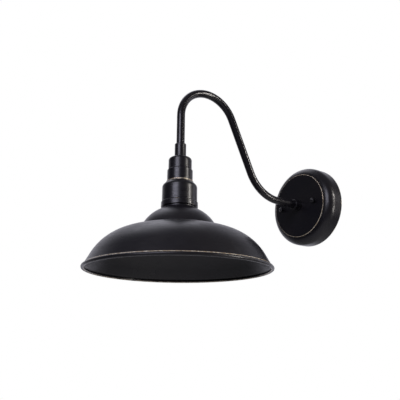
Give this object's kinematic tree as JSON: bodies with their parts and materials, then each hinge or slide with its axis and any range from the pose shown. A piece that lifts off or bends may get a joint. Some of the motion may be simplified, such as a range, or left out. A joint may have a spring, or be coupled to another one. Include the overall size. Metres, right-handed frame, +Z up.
{
  "type": "wall sconce",
  "caption": "Gooseneck wall sconce: round canopy, bent tube arm, stepped socket hood and a wide bowl shade in satin black with rubbed bronze edges.",
  "frame": {"origin": "centre of the canopy on the wall plane", "axes": "+Y into the wall, +Z up, +X to the right of someone who faces the wall"},
  "size_m": [0.254, 0.394, 0.2869],
  "materials": {
    "black_paint": "satin black enamel, rubbed to bronze on edges",
    "shade_paint": "satin black enamel, rubbed to bronze on the lip",
    "zinc_plate": "bright zinc plate",
    "ground_green_metal": "green dyed screw",
    "porcelain": "glazed white porcelain",
    "contact_brass": "plain brass",
    "terminal_nickel": "nickel plate",
    "ring_phenolic": "moulded black phenolic",
    "lead_black": "smooth black insulation",
    "lead_white": "smooth white insulation",
    "lead_green": "smooth green insulation",
    "connector_orange": "moulded orange plastic",
    "connector_green": "moulded green plastic",
    "bushing_plastic": "black nylon"
  },
  "bodies": {
    "sconce": {"canopy": "black_paint", "arm_tube": "black_paint", "arm_sleeve": "black_paint", "head_collar": "black_paint", "neck_cap": "black_paint", "socket_hood": "black_paint", "wall_bracket": "zinc_plate", "canopy_studs": "zinc_plate", "stud_lock_nuts": "zinc_plate", "arm_nipple": "zinc_plate", "arm_lock_washer": "zinc_plate", "arm_nut": "zinc_plate", "head_nipple": "zinc_plate", "head_lock_washer": "zinc_plate", "head_nut": "zinc_plate", "lampholder_strap": "zinc_plate", "strap_jam_nut": "zinc_plate", "strap_screws": "zinc_plate", "ground_screw": "ground_green_metal", "lampholder_body": "porcelain", "screw_shell": "contact_brass", "line_terminal": "contact_brass", "neutral_terminal": "terminal_nickel", "line_lead": "lead_black", "neutral_lead": "lead_white", "ground_lead": "lead_green", "line_connector": "connector_orange", "neutral_connector": "connector_orange", "ground_connector": "connector_green", "lead_bushings": "bushing_plastic"},
    "shade": {"shade": "shade_paint"},
    "ring": {"shade_ring": "ring_phenolic"},
    "left_washer": {"nut_washer_left": "black_paint"},
    "left_nut": {"ball_nut_left": "black_paint"},
    "right_washer": {"nut_washer_right": "black_paint"},
    "right_nut": {"ball_nut_right": "black_paint"},
    "contact": {"centre_contact": "contact_brass"}
  },
  "joints": [
    {"name": "shade_drop", "type": "slide", "parent": "sconce", "child": "shade", "axis": [0, 0, -1], "range_m": [0, 0.01]},
    {"name": "shade_ring_turn", "type": "hinge", "parent": "shade", "child": "ring", "pos_m": [0, -0.267, -0.048], "axis": [0, 0, -1], "range_deg": [0, 1800]},
    {"name": "left_washer_back", "type": "slide", "parent": "sconce", "child": "left_washer", "axis": [0, -1, 0], "range_m": [0, 0.0035]},
    {"name": "left_nut_turn", "type": "hinge", "parent": "left_washer", "child": "left_nut", "pos_m": [-0.036, -0.035, 0], "axis": [0, -1, 0], "range_deg": [0, 1800]},
    {"name": "right_washer_back", "type": "slide", "parent": "sconce", "child": "right_washer", "axis": [0, -1, 0], "range_m": [0, 0.0035]},
    {"name": "right_nut_turn", "type": "hinge", "parent": "right_washer", "child": "right_nut", "pos_m": [0.036, -0.035, 0], "axis": [0, -1, 0], "range_deg": [0, 1800]},
    {"name": "contact_press", "type": "slide", "parent": "sconce", "child": "contact", "axis": [0, 0, 1], "range_m": [0, 0.0012], "stiffness_N_per_m": 2000}
  ],
  "couplings": [
    {"joint": "shade_ring_turn", "follows": "shade_drop", "rad_per_m": 3141.6},
    {"joint": "left_nut_turn", "follows": "left_washer_back", "rad_per_m": 8976},
    {"joint": "right_nut_turn", "follows": "right_washer_back", "rad_per_m": 8976}
  ]
}
